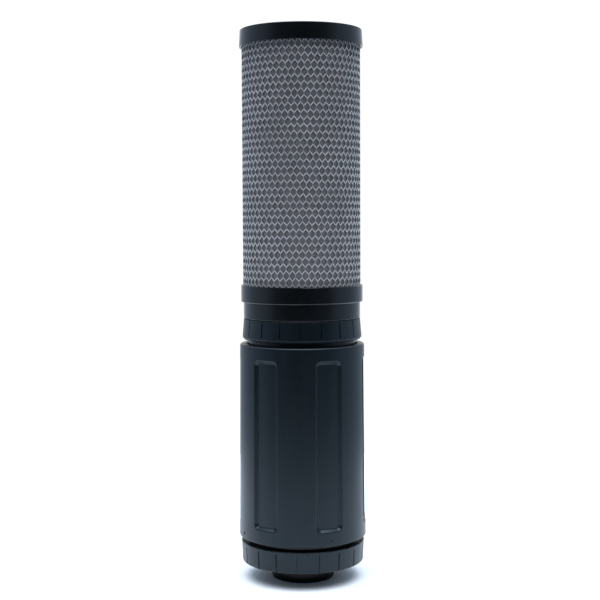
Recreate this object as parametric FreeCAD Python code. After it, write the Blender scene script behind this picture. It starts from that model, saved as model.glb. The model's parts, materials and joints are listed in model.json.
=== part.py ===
import FreeCAD, Part
import os
import math
from FreeCAD import Vector as V

# Inline water filter cartridge: a netted carbon pre-filter element plugged into
# the inlet plate of a hollow-fibre module.  Two union nuts hold the inlet and
# outlet plates on the module's vessel.  Millimetres, +Z up, the origin is the
# middle of the outlet spigot's lower face.

# ---------------------------------------------------------------- dimensions
# outlet spigot and plate
Z_SPIGOT_TOP = 8.6          # shoulder where the spigot meets the plate's hub
R_SPIGOT = 16.1
SPIGOT_EDGE = 0.7           # rounded lower edge
R_OUTLET_BORE = 9.0
Z_OUT_FLANGE = 10.55        # underside of the outlet plate's flange
PLATE_FLANGE_T = 2.4
R_PLATE_FLANGE = 26.3
R_PLATE_HUB = 22.0
GASKET_T = 0.8

# union nuts
Z_LNUT_LOW = 8.95
Z_LNUT_TOP = 19.8
R_LNUT_LOW = 31.15
R_LNUT_TOP = 31.7
Z_UNUT_LOW = 123.4
Z_UNUT_TOP = 134.0
R_UNUT_LOW = 30.5
R_UNUT_TOP = 29.8
NUT_LIP_T = 1.5
R_NUT_LIP_HOLE = 22.2
NUT_SEGMENTS = 18
NUT_GROOVE_W = 0.65
NUT_GROOVE_D = 0.55
NUT_NOTCH_W = 1.0
UPPER_GROOVE_PHASE = -1.6   # degrees from the front (-Y) towards +X
LOWER_GROOVE_PHASE = -5.2

# neck threads, right-handed, the same on both necks
PITCH = 3.0
R_MALE_CORE = 26.4
R_MALE_CREST = 27.35
R_FEMALE_ROOT = 27.7
R_FEMALE_CREST = 26.75
RIDGE_ROOT_W = 1.45
RIDGE_CREST_W = 0.65

# module vessel
Z_VESSEL_LOW = 13.75
Z_VESSEL_TOP = 129.2
R_VESSEL_IN = 24.0
R_NECK = 27.6
R_VESSEL = 27.4
R_COLLAR = 28.4
Z_COLLAR_LOW = 20.4

# grip sleeve
Z_SLEEVE_LOW = 22.3
Z_SLEEVE_TOP = 121.2
R_SLEEVE_LOW = 32.65
R_SLEEVE_TOP = 31.85
R_SLEEVE_IN = 28.45
PANEL_COUNT = 6
PANEL_PHASE = 24.5          # degrees from the front towards +X
PANEL_HALF_ANGLE = 13.0
PANEL_DEPTH = 0.95
PANEL_WALL_RUN = 2.1
Z_PANEL_LOW = 29.3
Z_PANEL_TOP = 114.6
PIN_R = 0.65
PIN_Z = 25.4
PIN_ANGLES = (24.5, 114.5, 204.5, 294.5)

# inlet plate
R_SOCKET = 13.0
Z_SOCKET_FLOOR = 124.6
R_INLET_CUP = 17.0
R_INLET_HOLE = 8.0

# carbon element
Z_SKIRT_LOW = 134.3
R_SKIRT = 29.9
R_SKIRT_IN = 28.2
Z_RING_LOW = 142.5
Z_RING_TOP = 151.1
R_RING = 31.2
R_CUP_IN = 30.35
Z_CUP_FLOOR = 145.0
R_ELEMENT_SPIGOT = 12.5
R_ELEMENT_BORE = 9.0
Z_ELEMENT_SPIGOT_LOW = 125.4
Z_BLOCK_LOW = 148.1
Z_BLOCK_TOP = 273.0
R_BLOCK = 28.4
R_BLOCK_BORE = 13.0
R_FLEECE_IN = 28.45
R_FLEECE = 29.35
R_NET_IN = 29.42
R_NET = 30.1
Z_CAP_LOW = 271.1
Z_CAP_LIP = 272.75
Z_CAP_TOP = 279.6
R_CAP = 31.0
R_CAP_LIP = 31.5

EDGE = 0.45                 # general outside edge rounding

# membrane module's inside
R_CAGE = 23.6
R_CAGE_IN = 22.4
R_CAGE_FOOT = 23.8
R_POTTING = 20.9
Z_CAGE_LOW = 20.1
Z_CAGE_TOP = 116.0
Z_POTTING_LOW = 21.0
Z_POTTING_TOP = 34.0
FIBRE_R = 1.2
FIBRE_PITCH = 4.4
Z_FIBRE_BEND = 88.0

os.makedirs("parts", exist_ok=True)
AXIS0 = V(0, 0, 0)
UP = V(0, 0, 1)


# ------------------------------------------------------------------- helpers
def profile_face(points):
    """A face in the XZ plane from (radius, z[, corner radius]) points."""
    n = len(points)
    corners = []
    for i, p in enumerate(points):
        b = V(p[0], 0, p[1])
        rad = p[2] if len(p) > 2 else 0.0
        if rad <= 0:
            corners.append((b, None, b))
            continue
        a = V(points[i - 1][0], 0, points[i - 1][1])
        c = V(points[(i + 1) % n][0], 0, points[(i + 1) % n][1])
        u = (a - b).normalize()
        w = (c - b).normalize()
        angle = u.getAngle(w)
        t = rad / math.tan(angle / 2)
        bis = (u + w).normalize()
        centre = b + bis * (rad / math.sin(angle / 2))
        corners.append((b + u * t, centre - bis * rad, b + w * t))
    edges = []
    for i in range(n):
        p1, mid, p2 = corners[i]
        if mid is not None:
            edges.append(Part.Arc(p1, mid, p2).toShape())
        q = corners[(i + 1) % n][0]
        if (q - p2).Length > 1e-6:
            edges.append(Part.LineSegment(p2, q).toShape())
    return Part.Face(Part.Wire(edges))


def turned(points):
    """A solid of revolution about Z."""
    return profile_face(points).revolve(AXIS0, UP, 360)


def spin(shape, degrees):
    """A copy turned about Z; 0 is the front (-Y), positive towards +X."""
    s = shape.copy()
    s.rotate(AXIS0, UP, degrees)
    return s


def front_box(width, depth, height, r_mid, z_low):
    """A box at the front, centred on radius r_mid, starting at z_low."""
    return Part.makeBox(width, depth, height, V(-width / 2, -r_mid - depth / 2, z_low))


def ridge(r_root, r_crest, z0, z1, start):
    """A helical trapezoid ridge, its middle running from z0 to z1."""
    sink = 0.2 if r_crest > r_root else -0.2
    helix = Part.makeHelix(PITCH, z1 - z0, r_root)
    a, c = RIDGE_ROOT_W / 2, RIDGE_CREST_W / 2
    pts = [V(r_root - sink, 0, -a), V(r_crest, 0, -c),
           V(r_crest, 0, c), V(r_root - sink, 0, a), V(r_root - sink, 0, -a)]
    prof = Part.Wire(Part.makePolygon(pts))
    solid = Part.Wire(helix.Edges).makePipeShell([prof], True, True)
    solid = Part.Solid(solid) if solid.ShapeType == "Shell" else solid
    if solid.Volume < 0:
        solid.reverse()
    solid.translate(V(0, 0, z0))
    solid.rotate(AXIS0, UP, start)
    return solid


def o_ring(r_mid, r_section, z):
    return Part.makeTorus(r_mid, r_section, V(0, 0, z), UP)


def save(node, shape):
    """One STEP file per node."""
    solids = shape.Solids
    ok = all(s.isValid() for s in solids)
    print(f"{node:20s} solids {len(solids):3d} valid {ok} volume {sum(s.Volume for s in solids):12.1f} "
          f"z {shape.BoundBox.ZMin:8.2f} {shape.BoundBox.ZMax:8.2f} r {shape.BoundBox.XMax:6.2f}")
    out = solids[0] if len(solids) == 1 else Part.makeCompound(solids)
    out.exportStep(f"parts/{node}.step")
    return out


# ------------------------------------------------------- outlet plate and nut
Z_OUT_FACE = Z_OUT_FLANGE + PLATE_FLANGE_T      # gasket side of the flange
SPIGOT_GROOVE_Z = 6.9
SPIGOT_RING_R = 0.9
outlet_plate = turned([
    (R_OUTLET_BORE, 0.0, 0.5), (R_SPIGOT, 0.0, SPIGOT_EDGE),
    (R_SPIGOT, SPIGOT_GROOVE_Z - 1.1), (R_SPIGOT - 1.9, SPIGOT_GROOVE_Z - 1.1),
    (R_SPIGOT - 1.9, SPIGOT_GROOVE_Z + 1.1), (R_SPIGOT, SPIGOT_GROOVE_Z + 1.1),
    (R_SPIGOT, Z_SPIGOT_TOP), (R_PLATE_HUB, Z_SPIGOT_TOP, 0.4),
    (R_PLATE_HUB, Z_OUT_FLANGE), (R_PLATE_FLANGE, Z_OUT_FLANGE),
    (R_PLATE_FLANGE, Z_OUT_FACE), (21.0, Z_OUT_FACE), (R_OUTLET_BORE, Z_OUT_FACE - 2.6)])
spigot_o_ring = o_ring(R_SPIGOT - 0.02 - SPIGOT_RING_R, SPIGOT_RING_R, SPIGOT_GROOVE_Z)
outlet_gasket = turned([(24.3, Z_OUT_FACE), (26.1, Z_OUT_FACE),
                        (26.1, Z_VESSEL_LOW), (24.3, Z_VESSEL_LOW)])


def nut_cuts(phase, z_low, z_top, r_surface, notch_z_low, notch_z_top):
    """Grip grooves between the segments and a small notch in the middle of each."""
    cuts = []
    for k in range(NUT_SEGMENTS):
        a = phase + 360.0 / NUT_SEGMENTS * k
        depth = 4.0
        groove = front_box(NUT_GROOVE_W, depth, z_top - z_low, r_surface - NUT_GROOVE_D + depth / 2, z_low)
        cuts.append(spin(groove, a))
        notch = front_box(NUT_NOTCH_W, depth, notch_z_top - notch_z_low,
                          r_surface - 0.5 + depth / 2, notch_z_low)
        cuts.append(spin(notch, a + 180.0 / NUT_SEGMENTS))
    return Part.makeCompound(cuts)


lower_body = turned([
    (R_NUT_LIP_HOLE, Z_LNUT_LOW), (R_LNUT_LOW, Z_LNUT_LOW, 0.8),
    (R_LNUT_TOP, Z_LNUT_TOP, EDGE), (R_FEMALE_ROOT, Z_LNUT_TOP, 0.3),
    (R_FEMALE_ROOT, Z_LNUT_LOW + NUT_LIP_T), (R_NUT_LIP_HOLE, Z_LNUT_LOW + NUT_LIP_T)])
lower_body = lower_body.cut(nut_cuts(LOWER_GROOVE_PHASE, Z_LNUT_LOW - 1, Z_LNUT_TOP - 1.7,
                                     R_LNUT_LOW + 0.25, Z_LNUT_TOP - 0.45, Z_LNUT_TOP + 1))
# raised index triangle on the lower nut, pointing up at the vessel
tri = Part.Face(Part.makePolygon([V(-0.75, 0, 0), V(0.75, 0, 0), V(0, 0, 1.2), V(-0.75, 0, 0)]))
index_mark = tri.extrude(V(0, 1.5, 0))
index_mark.translate(V(0, -R_LNUT_TOP - 0.12, Z_LNUT_TOP - 2.2))
index_mark = spin(index_mark, 4.8)
lower_body = lower_body.fuse(index_mark)
lower_union_nut = lower_body.fuse(ridge(R_FEMALE_ROOT, R_FEMALE_CREST, 14.6, 18.5, 180))

# ---------------------------------------------------------------- upper nut
upper_body = turned([
    (R_NUT_LIP_HOLE, Z_UNUT_TOP), (R_NUT_LIP_HOLE, Z_UNUT_TOP - NUT_LIP_T),
    (R_FEMALE_ROOT, Z_UNUT_TOP - NUT_LIP_T), (R_FEMALE_ROOT, Z_UNUT_LOW, 0.3),
    (R_UNUT_LOW - 0.75, Z_UNUT_LOW, 0.2), (R_UNUT_LOW + 0.05, Z_UNUT_LOW + 1.1, 0.4),
    (R_UNUT_TOP, Z_UNUT_TOP, 0.3)])
upper_body = upper_body.cut(nut_cuts(UPPER_GROOVE_PHASE, Z_UNUT_LOW + 2.1, Z_UNUT_TOP + 1,
                                     (R_UNUT_TOP + R_UNUT_LOW) / 2, Z_UNUT_LOW - 1, Z_UNUT_LOW + 0.45))
upper_union_nut = upper_body.fuse(ridge(R_FEMALE_ROOT, R_FEMALE_CREST, 124.5, 128.4, 180))

# ------------------------------------------------------------------- vessel
Z_LEDGE = 20.0
vessel = turned([
    (R_VESSEL_IN - 1.0, Z_VESSEL_LOW), (R_MALE_CORE, Z_VESSEL_LOW, 0.3),
    (R_MALE_CORE, 19.4), (R_NECK, 19.4), (R_NECK, Z_COLLAR_LOW), (R_COLLAR, Z_COLLAR_LOW, 0.2),
    (R_COLLAR, 28.0), (R_VESSEL, 29.0),
    (R_VESSEL, 112.0), (R_COLLAR, 113.0), (R_COLLAR, 119.6), (R_NECK, 120.3),
    (R_NECK, 123.6), (R_MALE_CORE, 123.6), (R_MALE_CORE, Z_VESSEL_TOP, 0.3),
    (R_VESSEL_IN, Z_VESSEL_TOP), (R_VESSEL_IN, Z_LEDGE), (R_VESSEL_IN - 2.5, Z_LEDGE),
    (R_VESSEL_IN - 2.5, 17.0), (R_VESSEL_IN - 1.0, 15.5)])
pin_hole = Part.makeCylinder(PIN_R + 0.02, 3.0, V(0, -27.3, PIN_Z), V(0, -1, 0))
vessel = vessel.cut(Part.makeCompound([spin(pin_hole, a) for a in PIN_ANGLES]))
vessel = vessel.fuse(ridge(R_MALE_CORE, R_MALE_CREST, 14.6, 18.5, 0))
vessel = vessel.fuse(ridge(R_MALE_CORE, R_MALE_CREST, 124.5, 128.4, 0))

# -------------------------------------------------------------- grip sleeve
grip_sleeve = turned([
    (R_SLEEVE_IN, Z_SLEEVE_LOW, 0.3), (R_SLEEVE_LOW, Z_SLEEVE_LOW, 0.6),
    (R_SLEEVE_TOP, Z_SLEEVE_TOP, 1.1), (R_SLEEVE_IN, Z_SLEEVE_TOP, 0.3)])
SLEEVE_SLOPE = (R_SLEEVE_LOW - R_SLEEVE_TOP) / (Z_SLEEVE_TOP - Z_SLEEVE_LOW)


def r_sleeve(z):
    return R_SLEEVE_LOW - SLEEVE_SLOPE * (z - Z_SLEEVE_LOW)


def panel_cutter():
    """A grip panel's recess at the front: straight drafted walls, conical floor."""
    r_out, r_low, run = 34.0, r_sleeve(Z_PANEL_LOW), PANEL_WALL_RUN
    k = run / PANEL_DEPTH
    # cross-section: side walls slope in towards the floor
    surface = (r_low + r_sleeve(Z_PANEL_TOP)) / 2
    half = math.radians(PANEL_HALF_ANGLE)
    a1 = (surface * math.sin(half), surface * math.cos(half))
    floor_r = surface - PANEL_DEPTH
    half2 = half - run / surface
    a2 = (floor_r * math.sin(half2), floor_r * math.cos(half2))
    slope = (a1[0] - a2[0]) / (a1[1] - a2[1])
    lo_y, hi_y = a2[1] - 0.8, a1[1] + 1.0
    lo_x, hi_x = a2[0] - 0.8 * slope, a1[0] + 1.0 * slope
    section = Part.Face(Part.makePolygon([
        V(-lo_x, -lo_y, 0), V(lo_x, -lo_y, 0), V(hi_x, -hi_y, 0), V(hi_x, -r_out - 1, 0),
        V(-hi_x, -r_out - 1, 0), V(-hi_x, -hi_y, 0), V(-lo_x, -lo_y, 0)]))
    prism = section.extrude(V(0, 0, Z_PANEL_TOP - Z_PANEL_LOW + 8))
    prism.translate(V(0, 0, Z_PANEL_LOW - 4))
    # end walls: a ring whose ends slope in towards the floor
    zl, zt = Z_PANEL_LOW, Z_PANEL_TOP
    rl, rt = r_sleeve(zl), r_sleeve(zt)
    over = 1.5
    ring = turned([
        (rl - PANEL_DEPTH, zl + run), (rl + over, zl - over * k),
        (rt + over, zt + over * k), (rt - PANEL_DEPTH, zt - run)])
    # rounded corners in the unrolled outline
    w, h, c = surface * math.sin(half) * 2 + 0.4, zt - zl + 0.4, 2.6
    outline = Part.makeBox(w - 2 * c, 12, h, V(-w / 2 + c, -38, zl - 0.2)).fuse([
        Part.makeBox(w, 12, h - 2 * c, V(-w / 2, -38, zl - 0.2 + c))] + [
        Part.makeCylinder(c, 12, V(sx * (w / 2 - c), -26, z), V(0, -1, 0))
        for sx in (-1, 1) for z in (zl - 0.2 + c, zt + 0.2 - c)])
    return prism.common(ring).common(outline)


cutter = panel_cutter()
cuts = [spin(cutter, PANEL_PHASE + 360.0 / PANEL_COUNT * k) for k in range(PANEL_COUNT)]
hole = Part.makeCylinder(PIN_R + 0.05, 8.0, V(0, -27.0, PIN_Z), V(0, -1, 0))
cuts += [spin(hole, a) for a in PIN_ANGLES]
for c in cuts:
    grip_sleeve = grip_sleeve.cut(c)
pin = Part.makeCylinder(PIN_R, r_sleeve(PIN_Z) - 0.35 - 27.6, V(0, -27.6, PIN_Z), V(0, -1, 0))
sleeve_pins = Part.makeCompound([spin(pin, a) for a in PIN_ANGLES])

# ------------------------------------------------------ hollow-fibre module
cage = turned([
    (R_POTTING + 0.05, Z_CAGE_LOW), (R_CAGE_FOOT, Z_CAGE_LOW), (R_CAGE_FOOT, 24.0),
    (22.35, 24.0), (22.35, 26.0), (R_CAGE_FOOT, 26.0), (R_CAGE_FOOT, 34.0),
    (R_CAGE, 34.6), (R_CAGE, Z_CAGE_TOP), (R_CAGE_IN, Z_CAGE_TOP), (R_CAGE_IN, 35.2),
    (R_POTTING + 0.05, Z_POTTING_TOP)])
slots = []
for k in range(6):
    for z in range(7):
        d = spin(Part.makeCylinder(3.6, 60, V(0, -30, 0), V(0, 1, 0)), 30 * k)
        d.translate(V(0, 0, 42.0 + 11.0 * z))
        slots.append(d)
membrane_cage = cage.cut(Part.makeCompound(slots))
potting_o_ring = o_ring(23.2, 0.75, 25.0)

loops, legs = [], []
row = 0
y = -4 * FIBRE_PITCH
while y <= 4 * FIBRE_PITCH + 1e-6:
    reach = math.sqrt(max(0.0, 19.3 ** 2 - y ** 2))
    x = FIBRE_PITCH / 2
    while x <= reach:
        z0 = Z_POTTING_LOW
        height = Z_FIBRE_BEND - z0
        left = Part.makeCylinder(FIBRE_R, height, V(-x, y, z0), UP)
        right = Part.makeCylinder(FIBRE_R, height, V(x, y, z0), UP)
        path = Part.Wire([
            Part.LineSegment(V(-x, y, z0), V(-x, y, Z_FIBRE_BEND)).toShape(),
            Part.Arc(V(-x, y, Z_FIBRE_BEND), V(0, y, Z_FIBRE_BEND + x), V(x, y, Z_FIBRE_BEND)).toShape(),
            Part.LineSegment(V(x, y, Z_FIBRE_BEND), V(x, y, z0)).toShape()])
        section = Part.Wire([Part.makeCircle(FIBRE_R, V(-x, y, z0), UP)])
        loop = path.makePipeShell([section], True, False)
        loops.append(loop.Solids[0] if loop.Solids else Part.Solid(loop))
        for sx in (-x, x):
            legs.append(Part.makeCylinder(FIBRE_R + 0.05, Z_POTTING_TOP - z0 + 2, V(sx, y, z0 - 1), UP))
        x += FIBRE_PITCH
    y += FIBRE_PITCH
fibre_bundle = Part.makeCompound(loops)
potting = Part.makeCylinder(R_POTTING, Z_POTTING_TOP - Z_POTTING_LOW, V(0, 0, Z_POTTING_LOW), UP)
fibre_potting = potting.cut(Part.makeCompound(legs))

# perforated disc that spreads the water over the fibres
disc = turned([(0, 116.05), (R_CAGE, 116.05), (R_CAGE, 118.2), (21.0, 118.2), (21.0, 117.6), (0, 117.6)])
holes = [Part.makeCylinder(1.6, 8, V(0, 0, 113), UP)]
for r, n in ((6.0, 6), (11.5, 12), (17.0, 18)):
    for k in range(n):
        a = 2 * math.pi * k / n
        holes.append(Part.makeCylinder(1.6, 8, V(r * math.cos(a), r * math.sin(a), 113), UP))
flow_distributor = disc.cut(Part.makeCompound(holes))

# ------------------------------------------------------------- inlet plate
Z_IN_FLANGE = Z_VESSEL_TOP + GASKET_T
Z_HUB_TOP = Z_RING_LOW - 0.1
inlet_plate = turned([
    (R_INLET_HOLE, Z_SOCKET_FLOOR - 2.2), (R_INLET_CUP, Z_SOCKET_FLOOR - 2.2, 0.6),
    (R_INLET_CUP, Z_IN_FLANGE), (R_PLATE_FLANGE, Z_IN_FLANGE),
    (R_PLATE_FLANGE, Z_IN_FLANGE + PLATE_FLANGE_T), (R_PLATE_HUB, Z_IN_FLANGE + PLATE_FLANGE_T),
    (R_PLATE_HUB, 134.2), (R_INLET_CUP, 134.2), (R_INLET_CUP, Z_HUB_TOP, 0.6),
    (R_SOCKET + 0.8, Z_HUB_TOP), (R_SOCKET, Z_HUB_TOP - 1.4), (R_SOCKET, Z_SOCKET_FLOOR),
    (R_INLET_HOLE, Z_SOCKET_FLOOR)])
inlet_gasket = turned([(24.3, Z_VESSEL_TOP), (26.1, Z_VESSEL_TOP),
                       (26.1, Z_IN_FLANGE), (24.3, Z_IN_FLANGE)])

# ----------------------------------------------------------- carbon element
RING_Z = (129.6, 134.2)
bottom_end_cap = turned([
    (R_ELEMENT_BORE, Z_ELEMENT_SPIGOT_LOW), (R_ELEMENT_SPIGOT, Z_ELEMENT_SPIGOT_LOW, 0.8),
    (R_ELEMENT_SPIGOT, RING_Z[0] - 1.1), (11.1, RING_Z[0] - 1.1), (11.1, RING_Z[0] + 1.1),
    (R_ELEMENT_SPIGOT, RING_Z[0] + 1.1),
    (R_ELEMENT_SPIGOT, RING_Z[1] - 1.1), (11.1, RING_Z[1] - 1.1), (11.1, RING_Z[1] + 1.1),
    (R_ELEMENT_SPIGOT, RING_Z[1] + 1.1),
    (R_ELEMENT_SPIGOT, Z_RING_LOW), (R_SKIRT_IN, Z_RING_LOW),
    (R_SKIRT_IN, Z_SKIRT_LOW, 0.2), (R_SKIRT, Z_SKIRT_LOW, 0.3), (R_SKIRT, Z_RING_LOW, 0.15),
    (R_RING, Z_RING_LOW, EDGE), (R_RING, Z_RING_TOP, 0.35), (R_CUP_IN, Z_RING_TOP, 0.2),
    (R_CUP_IN, Z_CUP_FLOOR, 0.5), (R_ELEMENT_BORE, Z_CUP_FLOOR)])
element_o_rings = Part.makeCompound([o_ring(R_SOCKET - 0.05 - 0.9, 0.9, z) for z in RING_Z])
bottom_cap_sealant = turned([(11.0, Z_CUP_FLOOR + 0.03), (R_CUP_IN - 0.6, Z_CUP_FLOOR + 0.03, 0.3),
                             (R_CUP_IN - 0.6, Z_BLOCK_LOW - 0.03), (11.0, Z_BLOCK_LOW - 0.03)])
carbon_block = turned([(R_BLOCK_BORE, Z_BLOCK_LOW), (R_BLOCK, Z_BLOCK_LOW),
                       (R_BLOCK, Z_BLOCK_TOP), (R_BLOCK_BORE, Z_BLOCK_TOP)])
core = turned([(11.4, Z_BLOCK_LOW), (12.9, Z_BLOCK_LOW), (12.9, Z_BLOCK_TOP), (11.4, Z_BLOCK_TOP)])
ports = []
for k in range(3):
    for j in range(13):
        d = spin(Part.makeCylinder(2.4, 40, V(0, -20, 0), V(0, 1, 0)), 60 * k + (30 if j % 2 else 0))
        d.translate(V(0, 0, 156.0 + 9.0 * j))
        ports.append(d)
core_tube = core.cut(Part.makeCompound(ports))
prefilter_fleece = turned([(R_FLEECE_IN, Z_BLOCK_LOW), (R_FLEECE, Z_BLOCK_LOW),
                           (R_FLEECE, Z_BLOCK_TOP), (R_FLEECE_IN, Z_BLOCK_TOP)])
netting_sleeve = turned([(R_NET_IN, Z_BLOCK_LOW), (R_NET, Z_BLOCK_LOW),
                         (R_NET, Z_BLOCK_TOP), (R_NET_IN, Z_BLOCK_TOP)])
CAP_CEILING = Z_CAP_TOP - 2.5
top_end_cap = turned([
    (0, CAP_CEILING), (R_CUP_IN, CAP_CEILING, 0.4), (R_CUP_IN, Z_CAP_LOW, 0.2),
    (R_CAP_LIP, Z_CAP_LOW, 0.35), (R_CAP_LIP, Z_CAP_LIP, 0.3), (R_CAP, Z_CAP_LIP, 0.1),
    (R_CAP - 0.05, Z_CAP_TOP, 0.5), (24.6, Z_CAP_TOP, 0.3), (24.0, Z_CAP_TOP - 0.6),
    (2.6, Z_CAP_TOP - 0.6), (2.2, Z_CAP_TOP - 0.2), (0, Z_CAP_TOP - 0.2)])
top_cap_sealant = turned([(0, Z_BLOCK_TOP + 0.03), (R_CUP_IN - 0.6, Z_BLOCK_TOP + 0.03),
                          (R_CUP_IN - 0.6, CAP_CEILING - 0.03, 0.3), (0, CAP_CEILING - 0.03)])

NODES = {
    "outlet_plate": outlet_plate, "spigot_o_ring": spigot_o_ring, "outlet_gasket": outlet_gasket,
    "lower_union_nut": lower_union_nut, "upper_union_nut": upper_union_nut,
    "vessel": vessel, "grip_sleeve": grip_sleeve, "sleeve_pins": sleeve_pins,
    "membrane_cage": membrane_cage, "potting_o_ring": potting_o_ring,
    "fibre_bundle": fibre_bundle, "fibre_potting": fibre_potting,
    "flow_distributor": flow_distributor,
    "inlet_plate": inlet_plate, "inlet_gasket": inlet_gasket,
    "bottom_end_cap": bottom_end_cap, "element_o_rings": element_o_rings,
    "bottom_cap_sealant": bottom_cap_sealant, "carbon_block": carbon_block,
    "core_tube": core_tube, "prefilter_fleece": prefilter_fleece,
    "netting_sleeve": netting_sleeve, "top_end_cap": top_end_cap,
    "top_cap_sealant": top_cap_sealant,
}
for name in sorted(NODES):
    save(name, NODES[name])
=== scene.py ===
import json
import math

import bmesh
import bpy
import numpy as np
from mathutils import Matrix, Vector, noise


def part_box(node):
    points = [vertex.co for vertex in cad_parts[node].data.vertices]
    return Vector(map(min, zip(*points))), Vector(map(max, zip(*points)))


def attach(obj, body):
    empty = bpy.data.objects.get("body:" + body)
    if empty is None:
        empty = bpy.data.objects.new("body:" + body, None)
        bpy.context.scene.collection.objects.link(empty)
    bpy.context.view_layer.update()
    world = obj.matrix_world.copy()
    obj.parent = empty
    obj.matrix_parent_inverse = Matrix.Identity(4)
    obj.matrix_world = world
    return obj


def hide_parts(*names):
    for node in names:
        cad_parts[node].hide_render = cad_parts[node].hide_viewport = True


# Inline water filter cartridge: netted carbon element on a sleeved membrane module.
# Lengths in this script's tables are millimetres and become metres in new_mesh().

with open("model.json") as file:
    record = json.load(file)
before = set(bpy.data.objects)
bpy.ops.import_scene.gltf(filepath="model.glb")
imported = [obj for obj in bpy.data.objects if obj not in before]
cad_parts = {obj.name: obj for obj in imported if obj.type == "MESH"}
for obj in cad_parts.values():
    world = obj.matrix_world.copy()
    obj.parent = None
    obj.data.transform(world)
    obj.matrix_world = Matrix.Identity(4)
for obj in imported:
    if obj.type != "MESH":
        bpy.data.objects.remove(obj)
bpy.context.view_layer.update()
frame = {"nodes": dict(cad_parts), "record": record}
nodes = frame["nodes"]
MM = 0.001


# ------------------------------------------------------------------ mesh tools
def new_mesh(name, verts, faces, smooth_angle=None, scale=MM):
    me = bpy.data.meshes.new(name)
    me.from_pydata([tuple(v) for v in np.asarray(verts, float) * scale], [],
                   [tuple(int(i) for i in f) for f in faces])
    me.validate()
    me.polygons.foreach_set("use_smooth", [True] * len(me.polygons))
    if smooth_angle:
        me.set_sharp_from_angle(angle=math.radians(smooth_angle))
    ob = bpy.data.objects.new(name, me)
    bpy.context.scene.collection.objects.link(ob)
    return ob


def front_angle(phi, r):
    """Points at angle phi from the front (-Y) towards +X."""
    return r * np.sin(phi), -r * np.cos(phi)


def give(ob, mat):
    ob.data.materials.clear()
    ob.data.materials.append(mat)


# ------------------------------------------------------------------- materials
def material(name):
    mat = bpy.data.materials.new(name)
    mat.use_nodes = True
    nt = mat.node_tree
    nt.nodes.clear()
    out = nt.nodes.new("ShaderNodeOutputMaterial")
    bsdf = nt.nodes.new("ShaderNodeBsdfPrincipled")
    nt.links.new(bsdf.outputs["BSDF"], out.inputs["Surface"])
    return mat, nt, bsdf


def coords(nt, stretch=(1, 1, 1)):
    tc = nt.nodes.new("ShaderNodeTexCoord")
    mp = nt.nodes.new("ShaderNodeMapping")
    mp.inputs["Scale"].default_value = stretch
    nt.links.new(tc.outputs["Object"], mp.inputs["Vector"])
    return mp.outputs["Vector"]


def noise_tex(nt, vec, scale, detail=3.0, rough=0.5, distortion=0.0):
    n = nt.nodes.new("ShaderNodeTexNoise")
    n.inputs["Scale"].default_value = scale
    n.inputs["Detail"].default_value = detail
    n.inputs["Roughness"].default_value = rough
    n.inputs["Distortion"].default_value = distortion
    nt.links.new(vec, n.inputs["Vector"])
    return n.outputs["Fac"]


def ramp(nt, fac, stops):
    r = nt.nodes.new("ShaderNodeValToRGB")
    el = r.color_ramp.elements
    while len(el) < len(stops):
        el.new(0.5)
    for e, (pos, col) in zip(el, stops):
        e.position = pos
        e.color = (*col, 1.0) if len(col) == 3 else col
    nt.links.new(fac, r.inputs["Fac"])
    return r.outputs["Color"]


def span(nt, fac, lo, hi, a=0.0, b=1.0):
    m = nt.nodes.new("ShaderNodeMapRange")
    m.inputs["From Min"].default_value = a
    m.inputs["From Max"].default_value = b
    m.inputs["To Min"].default_value = lo
    m.inputs["To Max"].default_value = hi
    nt.links.new(fac, m.inputs["Value"])
    return m.outputs["Result"]


def math_node(nt, op, a, b):
    m = nt.nodes.new("ShaderNodeMath")
    m.operation = op
    for i, v in enumerate((a, b)):
        if isinstance(v, (int, float)):
            m.inputs[i].default_value = v
        else:
            nt.links.new(v, m.inputs[i])
    return m.outputs[0]


def bump(nt, bsdf, height, strength, distance, after=None):
    b = nt.nodes.new("ShaderNodeBump")
    b.inputs["Strength"].default_value = strength
    b.inputs["Distance"].default_value = distance
    nt.links.new(height, b.inputs["Height"])
    if after is not None:
        nt.links.new(after, b.inputs["Normal"])
    nt.links.new(b.outputs["Normal"], bsdf.inputs["Normal"])
    return b.outputs["Normal"]


def tint(c, k):
    return tuple(x * k for x in c)


def matt_plastic(name, colour, grain=1.0):
    """Moulded plastic with a fine spark-eroded grain, slightly polished high spots."""
    mat, nt, bsdf = material(name)
    vec = coords(nt)
    fine = noise_tex(nt, vec, 2600.0, 2.0, 0.6)
    cloud = noise_tex(nt, vec, 45.0, 4.0, 0.55)
    streak = noise_tex(nt, coords(nt, (1, 1, 0.12)), 160.0, 3.0, 0.6)
    mixed = math_node(nt, "ADD", math_node(nt, "MULTIPLY", fine, 0.35),
                      math_node(nt, "MULTIPLY", cloud, 0.65))
    nt.links.new(ramp(nt, mixed, [(0.30, tint(colour, 0.78)), (0.52, colour), (0.74, tint(colour, 1.30))]),
                 bsdf.inputs["Base Color"])
    rough = math_node(nt, "ADD", math_node(nt, "MULTIPLY", streak, 0.5),
                      math_node(nt, "MULTIPLY", fine, 0.5))
    nt.links.new(span(nt, rough, 0.27, 0.40, 0.3, 0.7), bsdf.inputs["Roughness"])
    first = bump(nt, bsdf, noise_tex(nt, vec, 90.0, 2.0, 0.5), 0.12, 0.00010)
    bump(nt, bsdf, fine, 0.30 * grain, 0.00006, first)
    bsdf.inputs["IOR"].default_value = 1.42
    bsdf.inputs["Specular Tint"].default_value = (0.78, 0.93, 1.0, 1.0)
    return mat


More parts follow.
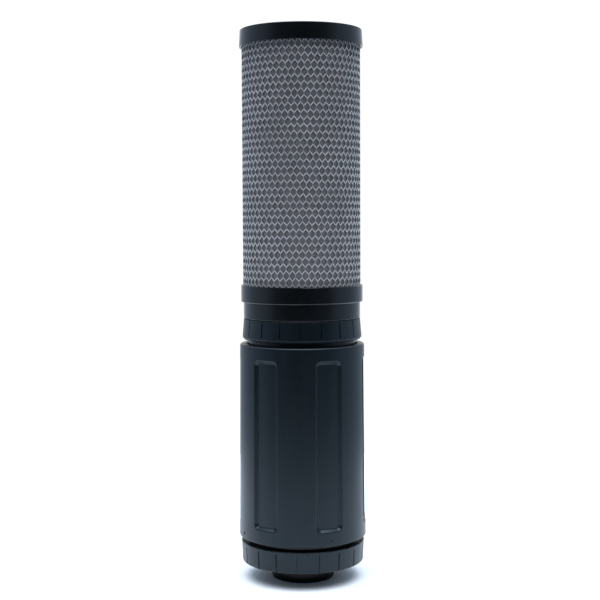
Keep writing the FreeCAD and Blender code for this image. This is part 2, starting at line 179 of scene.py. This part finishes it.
def gloss_plastic(name, colour, low=0.06, high=0.20, ior=1.47):
    """Polished moulded plastic with faint smudges, flow marks and hairline scratches."""
    mat, nt, bsdf = material(name)
    vec = coords(nt)
    smudge = noise_tex(nt, vec, 70.0, 5.0, 0.62, 0.4)
    hair = noise_tex(nt, coords(nt, (1, 1, 14)), 420.0, 2.0, 0.5)
    flow = noise_tex(nt, coords(nt, (1, 1, 0.15)), 110.0, 3.0, 0.55)
    mixed = math_node(nt, "ADD", math_node(nt, "MULTIPLY", smudge, 0.75),
                      math_node(nt, "MULTIPLY", hair, 0.25))
    nt.links.new(span(nt, mixed, low, high, 0.36, 0.68), bsdf.inputs["Roughness"])
    nt.links.new(ramp(nt, flow, [(0.35, tint(colour, 0.7)), (0.7, tint(colour, 1.35))]),
                 bsdf.inputs["Base Color"])
    first = bump(nt, bsdf, flow, 0.22, 0.00020)
    bump(nt, bsdf, hair, 0.05, 0.00003, first)
    bsdf.inputs["IOR"].default_value = ior
    return mat


def plain_plastic(name, colour, rough=(0.3, 0.5), subsurface=0.0):
    mat, nt, bsdf = material(name)
    vec = coords(nt)
    a = noise_tex(nt, vec, 60.0, 4.0, 0.55)
    b = noise_tex(nt, vec, 900.0, 2.0, 0.5)
    nt.links.new(ramp(nt, a, [(0.3, tint(colour, 0.88)), (0.7, tint(colour, 1.1))]), bsdf.inputs["Base Color"])
    nt.links.new(span(nt, b, rough[0], rough[1], 0.3, 0.7), bsdf.inputs["Roughness"])
    bump(nt, bsdf, b, 0.12, 0.00005)
    if subsurface:
        bsdf.inputs["Subsurface Weight"].default_value = subsurface
        bsdf.inputs["Subsurface Scale"].default_value = 0.001
    return mat


def rubber(name):
    mat, nt, bsdf = material(name)
    vec = coords(nt)
    a = noise_tex(nt, vec, 1400.0, 3.0, 0.6)
    nt.links.new(ramp(nt, a, [(0.3, (0.010, 0.010, 0.011)), (0.75, (0.022, 0.022, 0.024))]), bsdf.inputs["Base Color"])
    nt.links.new(span(nt, a, 0.45, 0.62, 0.3, 0.7), bsdf.inputs["Roughness"])
    bump(nt, bsdf, a, 0.2, 0.00004)
    return mat


def carbon(name):
    mat, nt, bsdf = material(name)
    vec = coords(nt)
    v = nt.nodes.new("ShaderNodeTexVoronoi")
    v.inputs["Scale"].default_value = 1500.0
    nt.links.new(vec, v.inputs["Vector"])
    nt.links.new(ramp(nt, v.outputs["Distance"], [(0.0, (0.05, 0.05, 0.052)), (0.5, (0.012, 0.012, 0.013))]),
                 bsdf.inputs["Base Color"])
    nt.links.new(span(nt, v.outputs["Distance"], 0.55, 0.9), bsdf.inputs["Roughness"])
    bump(nt, bsdf, v.outputs["Distance"], 0.6, 0.0002)
    return mat


def netting_plastic(name):
    """Extruded, slightly translucent satin netting whose colour carries painted light: painted shade on the strand
    sides, roots and fused joints, and the strand tops left bright as a painted highlight.
    """
    mat, nt, bsdf = material(name)
    vec = coords(nt)
    broad = noise_tex(nt, vec, 55.0, 3.0, 0.5)
    fine = noise_tex(nt, vec, 1300.0, 3.0, 0.6)
    mixed = math_node(nt, "ADD", math_node(nt, "MULTIPLY", broad, 0.55),
                      math_node(nt, "MULTIPLY", fine, 0.45))
    unshaded_colour = ramp(nt, mixed, [(0.32, (0.36, 0.345, 0.350)), (0.5, (0.46, 0.445, 0.450)), (0.7, (0.56, 0.54, 0.548))])
    # point attribute of painted light: 1 keeps the strand colour as a painted highlight, low values blend to the
    # near-black painted shade
    painted_light = nt.nodes.new("ShaderNodeAttribute")
    painted_light.attribute_name = "painted_light"
    blend = nt.nodes.new("ShaderNodeMix")
    blend.data_type = "RGBA"
    pins = [i for i in blend.inputs if i.type == "RGBA"]
    # near-black painted shade colour
    pins[0].default_value = (0.035, 0.034, 0.038, 1.0)
    nt.links.new(painted_light.outputs["Fac"], blend.inputs[0])
    nt.links.new(unshaded_colour, pins[1])
    nt.links.new([o for o in blend.outputs if o.type == "RGBA"][0], bsdf.inputs["Base Color"])
    nt.links.new(span(nt, fine, 0.30, 0.46, 0.3, 0.7), bsdf.inputs["Roughness"])
    bsdf.inputs["Subsurface Weight"].default_value = 0.12
    bsdf.inputs["Subsurface Scale"].default_value = 0.0008
    bsdf.inputs["Sheen Weight"].default_value = 0.30
    bsdf.inputs["Sheen Roughness"].default_value = 0.45
    bump(nt, bsdf, fine, 0.15, 0.00005)
    return mat


def fleece_fabric(name):
    """Needled fleece: short tangled fibres, mottled grey with a brown cast."""
    mat, nt, bsdf = material(name)
    vec = coords(nt)
    blotch = noise_tex(nt, vec, 150.0, 4.0, 0.6)
    fibre_a = noise_tex(nt, coords(nt, (1.0, 1.0, 0.28)), 1500.0, 3.0, 0.6, 1.2)
    fibre_b = noise_tex(nt, coords(nt, (0.35, 0.35, 1.6)), 1300.0, 3.0, 0.6, 1.4)
    fibres = math_node(nt, "MULTIPLY", fibre_a, fibre_b)
    mixed = math_node(nt, "ADD", math_node(nt, "MULTIPLY", blotch, 0.45),
                      math_node(nt, "MULTIPLY", fibres, 1.5))
    nt.links.new(ramp(nt, mixed, [(0.35, (0.125, 0.115, 0.115)), (0.58, (0.178, 0.166, 0.166)),
                                  (0.85, (0.245, 0.232, 0.232))]), bsdf.inputs["Base Color"])
    bsdf.inputs["Roughness"].default_value = 0.95
    bsdf.inputs["Specular IOR Level"].default_value = 0.25
    bsdf.inputs["Sheen Weight"].default_value = 0.25
    bsdf.inputs["Sheen Roughness"].default_value = 0.5
    first = bump(nt, bsdf, blotch, 0.25, 0.0004)
    bump(nt, bsdf, fibres, 0.7, 0.00030, first)
    return mat


def resin(name):
    mat, nt, bsdf = material(name)
    vec = coords(nt)
    a = noise_tex(nt, vec, 80.0, 4.0, 0.6, 0.5)
    nt.links.new(ramp(nt, a, [(0.3, (0.50, 0.38, 0.20)), (0.7, (0.68, 0.56, 0.34))]), bsdf.inputs["Base Color"])
    nt.links.new(span(nt, a, 0.12, 0.3), bsdf.inputs["Roughness"])
    bsdf.inputs["Subsurface Weight"].default_value = 0.1
    bsdf.inputs["Subsurface Scale"].default_value = 0.002
    bump(nt, bsdf, a, 0.1, 0.0002)
    return mat


M_GLOSS = gloss_plastic("gloss_black_plastic", (0.0022, 0.0026, 0.0031))
M_BLACK = gloss_plastic("black_plastic", (0.0014, 0.0017, 0.0020), 0.16, 0.30, 1.33)
M_GREY = matt_plastic("matt_grey_plastic", (0.0013, 0.0029, 0.0046))
M_PORT = gloss_plastic("outlet_port_plastic", (0.0012, 0.0014, 0.0017), 0.06, 0.16, 1.28)
M_PIN = matt_plastic("pin_plastic", (0.010, 0.011, 0.013))
M_NET = netting_plastic("netting_plastic")
M_FLEECE = fleece_fabric("fleece")
M_RUBBER = rubber("seal_rubber")
M_CAGE = plain_plastic("cage_plastic", (0.75, 0.75, 0.72))
M_FIBRE = plain_plastic("membrane_fibre", (0.85, 0.84, 0.78), (0.45, 0.65), 0.15)
M_RESIN = resin("potting_resin")
M_CARBON = carbon("carbon")
M_CORE = plain_plastic("core_plastic", (0.70, 0.70, 0.68))
M_SEAL = plain_plastic("sealant", (0.08, 0.08, 0.085), (0.35, 0.6))
BY_SLOT = {"gloss_black_plastic": M_GLOSS, "black_plastic": M_BLACK, "matt_grey_plastic": M_GREY,
           "pin_plastic": M_PIN, "netting_plastic": M_NET, "fleece": M_FLEECE, "seal_rubber": M_RUBBER,
           "cage_plastic": M_CAGE, "membrane_fibre": M_FIBRE, "potting_resin": M_RESIN,
           "carbon": M_CARBON, "core_plastic": M_CORE, "sealant": M_SEAL}
for sub in frame["record"]["subparts"]:
    if sub["node"] in nodes:
        give(nodes[sub["node"]], BY_SLOT[sub["material_slot"]])
give(nodes["outlet_plate"], M_PORT)


# ------------------------------------------------------------------ grip sleeve
def build_sleeve():
    lo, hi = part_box("grip_sleeve")
    z0, z1 = lo.z / MM, hi.z / MM
    r_low, r_top, r_in = 32.65, 31.85, 28.45
    slope = (r_low - r_top) / (z1 - z0)
    zp0, zp1, half, depth, wall, corner = 29.3, 114.6, 13.0, 1.45, 1.6, 3.0
    step = 60.0
    offs = list(np.arange(-14.4, -7.2, 0.3)) + list(np.arange(-7.2, 7.2, 1.8)) + \
        list(np.arange(7.2, 14.4, 0.3)) + list(np.arange(14.4, 45.6 - 1e-6, 2.4))
    phi = np.concatenate([np.array(offs) + 24.5 + step * k for k in range(6)])
    # vertical stations: rounded ends, fine across the panel ends
    e0, e1 = 0.6, 1.1
    st = [(r_in, z0 + 0.3, 0), (r_in + 0.09, z0 + 0.09, 0), (r_in + 0.3, z0, 0)]
    for a in np.linspace(0, 90, 6):
        t = math.radians(a)
        st.append((r_low - e0 + e0 * math.sin(t), z0 + e0 - e0 * math.cos(t), 0))
    zs = list(np.arange(z0 + 1.4, zp0 - 1.0, 1.4)) + list(np.arange(zp0 - 0.8, zp0 + 5.4, 0.25)) + \
        list(np.arange(zp0 + 7, zp1 - 6, 2.8)) + list(np.arange(zp1 - 5.4, zp1 + 0.85, 0.25)) + \
        list(np.arange(zp1 + 2.2, z1 - e1 - 0.3, 1.2))
    for z in zs:
        st.append((r_low - slope * (z - z0), z, 1))
    for a in np.linspace(0, 90, 8):
        t = math.radians(a)
        st.append((r_top - e1 + e1 * math.cos(t), z1 - e1 + e1 * math.sin(t), 0))
    st += [(r_in + 0.3, z1, 0), (r_in + 0.09, z1 - 0.09, 0), (r_in, z1 - 0.3, 0)]
    n_phi, n_st = len(phi), len(st)
    centre = 24.5 + step * np.round((phi - 24.5) / step)
    verts = np.zeros((n_st, n_phi, 3))
    for i, (r, z, on) in enumerate(st):
        rr = np.full(n_phi, r)
        if on:
            u = np.abs(np.radians(phi - centre)) * r
            hu, hv = math.radians(half) * r, (zp1 - zp0) / 2
            v = abs(z - (zp0 + zp1) / 2)
            qx, qy = u - hu + corner, np.full(n_phi, v - hv + corner)
            sd = np.hypot(np.maximum(qx, 0), np.maximum(qy, 0)) + np.minimum(np.maximum(qx, qy), 0) - corner
            t = np.clip(-sd / wall, 0, 1)
            # straight walls at about 45 degrees with small radii at lip and foot
            k = 0.16
            s = np.where(t < k, t * t / (2 * k), np.where(t > 1 - k, 1 - k - (1 - t) ** 2 / (2 * k), t - k / 2))
            rr = rr - depth * s / (1 - k)
        x, y = front_angle(np.radians(phi), rr)
        verts[i, :, 0], verts[i, :, 1], verts[i, :, 2] = x, y, z
    verts = verts.reshape(-1, 3)
    faces = []
    for i in range(n_st):
        k = (i + 1) % n_st
        for j in range(n_phi):
            m = (j + 1) % n_phi
            faces.append((i * n_phi + j, i * n_phi + m, k * n_phi + m, k * n_phi + j))
    ob = new_mesh("grip_sleeve_shell", verts, faces)
    # blind holes over the four retaining pins
    for a in (24.5, 114.5, 204.5, 294.5):
        t = math.radians(a)
        bm = bmesh.new()
        bmesh.ops.create_cone(bm, cap_ends=True, segments=32, radius1=0.72 * MM, radius2=0.72 * MM, depth=4.2 * MM)
        me = bpy.data.meshes.new("hole")
        bm.to_mesh(me)
        bm.free()
        cut = bpy.data.objects.new("hole", me)
        bpy.context.scene.collection.objects.link(cut)
        x, y = front_angle(t, 32.4)
        cut.matrix_world = Matrix.Translation((x * MM, y * MM, 25.4 * MM)) @ \
            Vector((math.sin(t), -math.cos(t), 0)).to_track_quat("Z", "Y").to_matrix().to_4x4()
        mod = ob.modifiers.new("hole", "BOOLEAN")
        mod.operation, mod.object, mod.solver = "DIFFERENCE", cut, "EXACT"
        bpy.context.view_layer.update()
        dg = bpy.context.evaluated_depsgraph_get()
        done = bpy.data.meshes.new_from_object(ob.evaluated_get(dg))
        ob.modifiers.clear()
        old = ob.data
        ob.data = done
        bpy.data.meshes.remove(old)
        bpy.data.objects.remove(cut)
    ob.data.polygons.foreach_set("use_smooth", [True] * len(ob.data.polygons))
    ob.data.set_sharp_from_angle(angle=math.radians(38))
    give(ob, M_GREY)
    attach(ob, "module")
    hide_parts("grip_sleeve")
    return ob


sleeve = build_sleeve()


# --------------------------------------------------------------------- top cap
def filleted(profile, steps=7):
    """Closed profile of (r, z[, fillet]) corners, listed as points."""
    out, n = [], len(profile)
    for i, corner in enumerate(profile):
        p = np.array(corner[:2], float)
        f = corner[2] if len(corner) > 2 else 0
        if not f:
            out.append(tuple(p))
            continue
        a, b = np.array(profile[i - 1][:2], float) - p, np.array(profile[(i + 1) % n][:2], float) - p
        a, b = a / np.linalg.norm(a), b / np.linalg.norm(b)
        for t in np.linspace(0, 1, steps):
            out.append(tuple(p + f * (a * (1 - t) ** 2 + b * t ** 2)))
    return out


def build_top_cap():
    lo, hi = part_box("top_end_cap")
    z0, z1 = lo.z / MM, hi.z / MM
    edge = filleted([
        (30.35, z1 - 2.5, 0.4), (30.35, z0, 0.15), (31.42, z0, 0.35), (31.0, z1, 0.55), (24.6, z1, 0.3), (24.0, z1 - 0.6, 0.2), (2.6, z1 - 0.6, 0.15), (2.2, z1 - 0.2, 0.1)])
    n = 256
    t = np.linspace(0, 2 * math.pi, n, endpoint=False)
    verts, faces = [], []
    for r, z in edge:
        x, y = front_angle(t, r)
        verts.append(np.stack([x, y, np.full(n, z)], 1))
    verts = np.concatenate(verts)
    m = len(edge)
    for i in range(m - 1):
        for j in range(n):
            k = (j + 1) % n
            faces.append((i * n + j, i * n + k, (i + 1) * n + k, (i + 1) * n + j))
    faces.append(tuple(range((m - 1) * n, m * n)))
    faces.append(tuple(range(n - 1, -1, -1)))
    ob = new_mesh("top_cap_moulding", verts, faces, smooth_angle=35)
    bm = bmesh.new()
    bm.from_mesh(ob.data)
    bmesh.ops.recalc_face_normals(bm, faces=bm.faces)
    bm.to_mesh(ob.data)
    bm.free()
    ob.data.set_sharp_from_angle(angle=math.radians(35))
    give(ob, M_GLOSS)
    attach(ob, "element")
    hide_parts("top_end_cap")
    return ob


top_cap = build_top_cap()


# --------------------------------------------------------------------- netting
def build_netting():
    cells, pitch, joint = 60, 3.41, 1.50
    r0, a, b, side = 29.76, 0.30, 0.30, 0.05
    z_lo, z_hi = 148.9, 272.6
    rows = int((z_hi - z_lo) / pitch)
    rng = np.random.default_rng(7)
    half = math.radians(360.0 / cells / 2)
    twist = math.radians(0.030)
    # small wander of each joint, shared by the two strands that meet there
    wander = rng.normal(0, 0.045, (rows + 2, 2 * cells, 2))
    local = [(-joint / 2, 0), (-joint / 6, 0), (joint / 6, 0), (joint / 2, 0)]
    arm = pitch - joint
    local += [(joint / 2 + arm * f, f * 0.70 + 0.30 * f * f * (3 - 2 * f)) for f in (0.22, 0.5, 0.78)]
    sect = np.linspace(0, 2 * math.pi, 7)[:-1]
    verts, faces, painted_light = [], [], []
    # painted shade around each strand's section: outer faces full, sides darkened, inner faces darkest
    painted_section_shade = (0.20, 1.0, 1.0, 0.20, 0.08, 0.08)
    base = 0
    for c in range(0, 2 * cells, 2):
        for turn in (1, -1):
            ph, zz, rr, lit = [], [], [], []
            for j in range(rows + 1):
                odd = j % 2
                col = c + turn * odd
                nxt = c + turn * (1 - odd)
                wj, wn = wander[j, col % (2 * cells)], wander[j + 1, nxt % (2 * cells)]
                off = side * turn * (1 if not odd else -1)
                noff = -off
                for dz, f in local:
                    w = wj * (1 - f) + wn * f
                    o = off * (1 - f) + noff * f
                    z = z_lo + 0.9 + j * pitch + dz + w[1]
                    ph.append((col * (1 - f) + nxt * f) * half + (o + w[0]) / r0 + twist * (z - z_lo))
                    zz.append(z)
                    rr.append(r0 + (0.03 if abs(dz) < joint / 2 else 0.0))
                    # painted shade along each strand: darkest in the fused joints, part-way at the joint ends, full on
                    # the arms
                    lit.append(0.40 if abs(dz) < joint / 2 - 0.01 else (0.68 if abs(dz) < joint / 2 + 0.01 else 1.0))
            ph, zz, rr, lit = map(np.array, (ph, zz, rr, lit))
            keep = (zz > z_lo) & (zz < z_hi)
            ph, zz, rr, lit = ph[keep], zz[keep], rr[keep], lit[keep]
            painted_light.append((lit[:, None] * np.array(painted_section_shade)[None, :]).ravel())
            x, y = front_angle(ph, rr)
            p = np.stack([x, y, zz], 1)
            t = np.gradient(p, axis=0)
            t /= np.linalg.norm(t, axis=1)[:, None]
            er = np.stack([np.sin(ph), -np.cos(ph), np.zeros_like(ph)], 1)
            bn = np.cross(t, er)
            bn /= np.linalg.norm(bn, axis=1)[:, None]
            fat = 1 + 0.06 * np.sin(np.arange(len(p)) * 0.37 + rng.uniform(0, 6.28)) + rng.normal(0, 0.015, len(p))
            ring = p[:, None, :] + (a * np.cos(sect))[None, :, None] * bn[:, None, :] * fat[:, None, None] + \
                (b * np.sin(sect))[None, :, None] * er[:, None, :]
            n = len(p)
            verts.append(ring.reshape(-1, 3))
            i = np.arange(n - 1)[:, None] * 6
            k = np.arange(6)[None, :]
            k2 = (k + 1) % 6
            q = np.stack([i + k, i + k2, i + 6 + k2, i + 6 + k], 2).reshape(-1, 4) + base
            faces.append(q)
            caps = [np.arange(6)[::-1] + base, np.arange(6) + base + (n - 1) * 6]
            faces.append(caps)
            base += n * 6
    all_faces = []
    for f in faces:
        all_faces += [tuple(int(v) for v in q) for q in f]
    ob = new_mesh("netting", np.concatenate(verts), all_faces)
    # painted light: the outer faces of the strands stay bright as a painted highlight, their sides, inner faces and
    # the fused joints are darkened as painted shade
    att = ob.data.attributes.new("painted_light", "FLOAT", "POINT")
    att.data.foreach_set("value", np.concatenate(painted_light).astype(np.float32))
    bm = bmesh.new()
    bm.from_mesh(ob.data)
    bmesh.ops.recalc_face_normals(bm, faces=bm.faces)
    bm.to_mesh(ob.data)
    bm.free()
    give(ob, M_NET)
    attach(ob, "element")
    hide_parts("netting_sleeve")
    return ob


netting = build_netting()


# ---------------------------------------------------------------------- fleece
def build_fleece():
    n_phi, n_z = 300, 200
    z_lo, z_hi = 148.3, 272.8
    r_out, r_in = 29.22, 28.62
    verts = np.zeros((n_z + 2, n_phi, 3))
    phi = np.linspace(0, 2 * math.pi, n_phi, endpoint=False)
    for i in range(n_z):
        z = z_lo + (z_hi - z_lo) * i / (n_z - 1)
        for j in range(n_phi):
            x, y = front_angle(phi[j], 29.0)
            q = Vector((x * 0.9, y * 0.9, z * 0.9))
            d = 0.10 * noise.noise(q) + 0.05 * noise.noise(q * 2.7) + 0.05 * noise.noise(Vector((x, y, z)) * 0.16)
            r = r_out + max(-0.2, min(0.12, d))
            x, y = front_angle(phi[j], r)
            verts[i, j] = (x, y, z)
    for k, z in ((n_z, z_hi), (n_z + 1, z_lo)):
        x, y = front_angle(phi, r_in)
        verts[k, :, 0], verts[k, :, 1], verts[k, :, 2] = x, y, z
    faces = []
    total = n_z + 2
    for i in range(total):
        k = (i + 1) % total
        for j in range(n_phi):
            m = (j + 1) % n_phi
            faces.append((i * n_phi + j, i * n_phi + m, k * n_phi + m, k * n_phi + j))
    ob = new_mesh("fleece_wrap", verts.reshape(-1, 3), faces)
    give(ob, M_FLEECE)
    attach(ob, "element")
    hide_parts("prefilter_fleece")
    return ob


fleece = build_fleece()

# ----------------------------------------------------------------------- stage
bm = bmesh.new()
bmesh.ops.create_circle(bm, cap_ends=True, segments=192, radius=0.34)
me = bpy.data.meshes.new("floor")
bm.to_mesh(me)
bm.free()
floor = bpy.data.objects.new("floor", me)
bpy.context.scene.collection.objects.link(floor)
floor.location = (0, 0, -0.00005)
fmat, fnt, fbsdf = material("pale_floor")
fnoise = noise_tex(fnt, coords(fnt), 6.0, 3.0, 0.5)
pale = ramp(fnt, fnoise, [(0.3, (0.90, 0.90, 0.905)), (0.7, (0.925, 0.925, 0.93))])
fnt.links.new(pale, fbsdf.inputs["Base Color"])
fbsdf.inputs["Roughness"].default_value = 0.9
fbsdf.inputs["Specular IOR Level"].default_value = 0.1
give(floor, fmat)

# --------------------------------------------------------------------- lighting
world = bpy.data.worlds.new("studio")
bpy.context.scene.world = world
world.use_nodes = True
wnt = world.node_tree
wnt.nodes.clear()
wout = wnt.nodes.new("ShaderNodeOutputWorld")
bg = wnt.nodes.new("ShaderNodeBackground")
wnt.links.new(bg.outputs[0], wout.inputs[0])
tc = wnt.nodes.new("ShaderNodeTexCoord")
sep = wnt.nodes.new("ShaderNodeSeparateXYZ")
wnt.links.new(tc.outputs["Generated"], sep.inputs[0])
# dark behind the camera, half bright at the sides, white behind the object
wy = span(wnt, sep.outputs["Y"], 0.0, 1.0, -1.0, 1.0)
wcol = ramp(wnt, wy, [(0.0, (0.050, 0.064, 0.080)), (0.17, (0.12, 0.165, 0.22)), (0.37, (0.37, 0.49, 0.64)),
                      (0.64, (0.46, 0.58, 0.73)), (0.89, (0.56, 0.67, 0.83)), (0.945, (0.64, 0.75, 0.90)),
                      (0.967, (1.04, 1.04, 1.04))])
wnt.links.new(wcol, bg.inputs["Color"])
# a soft ceiling overhead
wz = wnt.nodes.new("ShaderNodeMapRange")
wz.interpolation_type = "SMOOTHSTEP"
for key, val in (("From Min", 0.45), ("From Max", 0.95), ("To Min", 1.0), ("To Max", 3.4)):
    wz.inputs[key].default_value = val
wnt.links.new(sep.outputs["Z"], wz.inputs["Value"])
wnt.links.new(wz.outputs["Result"], bg.inputs["Strength"])


def sun(name, towards, strength, spread, colour):
    li = bpy.data.lights.new(name, "SUN")
    li.energy, li.angle, li.color = strength, math.radians(spread), colour
    ob = bpy.data.objects.new(name, li)
    bpy.context.scene.collection.objects.link(ob)
    ob.rotation_euler = Vector(towards).to_track_quat("-Z", "Y").to_euler()
    return ob


sun("overhead_softbox", (0.02, 0.28, -1.0), 2.7, 60, (1.0, 1.0, 1.0))

# ----------------------------------------------------------------------- camera
cam = bpy.data.cameras.new("camera")
cam.lens, cam.sensor_width, cam.sensor_fit = 74.18, 36.0, "HORIZONTAL"
cam.clip_start, cam.clip_end = 0.05, 50
cam_ob = bpy.data.objects.new("camera", cam)
bpy.context.scene.collection.objects.link(cam_ob)
cam_ob.location = (0.0, -0.63297, 0.18305)
pitch, yaw, roll = math.radians(3.615), math.radians(0.088), math.radians(-0.26)
cam_ob.matrix_world = Matrix.Translation(cam_ob.location) @ Matrix.Rotation(yaw, 4, "Z") @ \
    Matrix.Rotation(math.radians(90) - pitch, 4, "X") @ Matrix.Rotation(roll, 4, "Z")
bpy.context.scene.camera = cam_ob
bpy.context.scene.view_settings.view_transform = "Standard"
